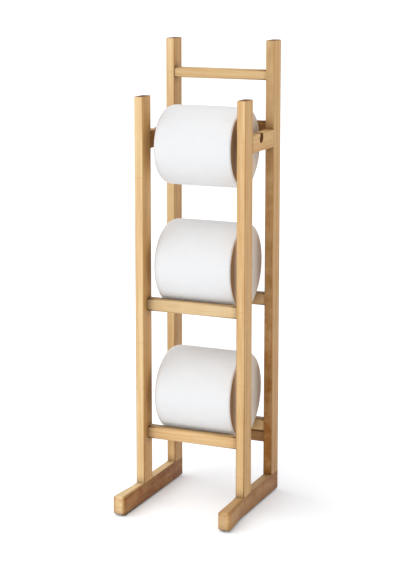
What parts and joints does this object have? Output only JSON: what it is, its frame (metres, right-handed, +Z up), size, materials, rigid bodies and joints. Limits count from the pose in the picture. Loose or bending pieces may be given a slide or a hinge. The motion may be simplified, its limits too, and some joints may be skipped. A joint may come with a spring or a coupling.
{
  "type": "toilet paper holder",
  "caption": "Free-standing wooden toilet paper stand: ladder frame on runner feet, a lift-out spindle in hook slots, and open shelves that store spare rolls.",
  "frame": {"origin": "centre of the footprint on the floor plane under the non-slip strips", "axes": "+Z up, -Y towards the user (the feet reach out that way), +X to the right as seen from the front"},
  "size_m": [0.177, 0.1986, 0.658],
  "materials": {
    "bamboo": "clear-sealed laminated bamboo, satin",
    "dowel_wood": "raw turned hardwood",
    "spindle_wood": "clear-sealed turned rod, satin",
    "strip_rubber": "matt brown non-slip strip",
    "tissue": "soft embossed white tissue paper",
    "core_card": "plain grey-brown spiral-wound card"
  },
  "bodies": {
    "frame": {"left_foot": "bamboo", "right_foot": "bamboo", "left_front_post": "bamboo", "left_rear_post": "bamboo", "right_front_post": "bamboo", "right_rear_post": "bamboo", "top_rear_rail": "bamboo", "upper_rear_rail": "bamboo", "middle_front_rail": "bamboo", "middle_rear_rail": "bamboo", "lower_front_rail": "bamboo", "lower_rear_rail": "bamboo", "lower_back_stretcher": "bamboo", "left_slotted_rail": "bamboo", "right_slotted_rail": "bamboo", "left_non_slip_strip": "strip_rubber", "right_non_slip_strip": "strip_rubber", "dowel_left_front_post_foot": "dowel_wood", "dowel_left_rear_post_foot": "dowel_wood", "dowel_right_front_post_foot": "dowel_wood", "dowel_right_rear_post_foot": "dowel_wood", "dowel_top_rear_rail_left": "dowel_wood", "dowel_top_rear_rail_right": "dowel_wood", "dowel_upper_rear_rail_left": "dowel_wood", "dowel_upper_rear_rail_right": "dowel_wood", "dowel_middle_front_rail_left": "dowel_wood", "dowel_middle_front_rail_right": "dowel_wood", "dowel_middle_rear_rail_left": "dowel_wood", "dowel_middle_rear_rail_right": "dowel_wood", "dowel_lower_front_rail_left": "dowel_wood", "dowel_lower_front_rail_right": "dowel_wood", "dowel_lower_rear_rail_left": "dowel_wood", "dowel_lower_rear_rail_right": "dowel_wood", "dowel_lower_back_stretcher_left": "dowel_wood", "dowel_lower_back_stretcher_right": "dowel_wood", "dowel_left_slotted_rail_front": "dowel_wood", "dowel_left_slotted_rail_rear": "dowel_wood", "dowel_right_slotted_rail_front": "dowel_wood", "dowel_right_slotted_rail_rear": "dowel_wood"},
    "spindle": {"spindle": "spindle_wood"},
    "top_roll": {"top_roll_paper": "tissue", "top_roll_core": "core_card"},
    "middle_roll": {"middle_roll_paper": "tissue", "middle_roll_core": "core_card"},
    "lower_roll": {"lower_roll_paper": "tissue", "lower_roll_core": "core_card"}
  },
  "joints": [
    {"name": "spindle_lift", "type": "slide", "parent": "frame", "child": "spindle", "axis": [0, 0.2756, 0.9613], "range_m": [0, 0.016]},
    {"name": "top_roll_spin", "type": "hinge", "parent": "spindle", "child": "top_roll", "pos_m": [0.0015, 0.02375, 0.5123], "axis": [1, 0, 0], "continuous": true},
    {"name": "middle_roll_lift", "type": "slide", "parent": "frame", "child": "middle_roll", "axis": [0, -0.6428, 0.766], "range_m": [0, 0.055]},
    {"name": "lower_roll_lift", "type": "slide", "parent": "frame", "child": "lower_roll", "axis": [0, -0.6428, 0.766], "range_m": [0, 0.055]}
  ]
}
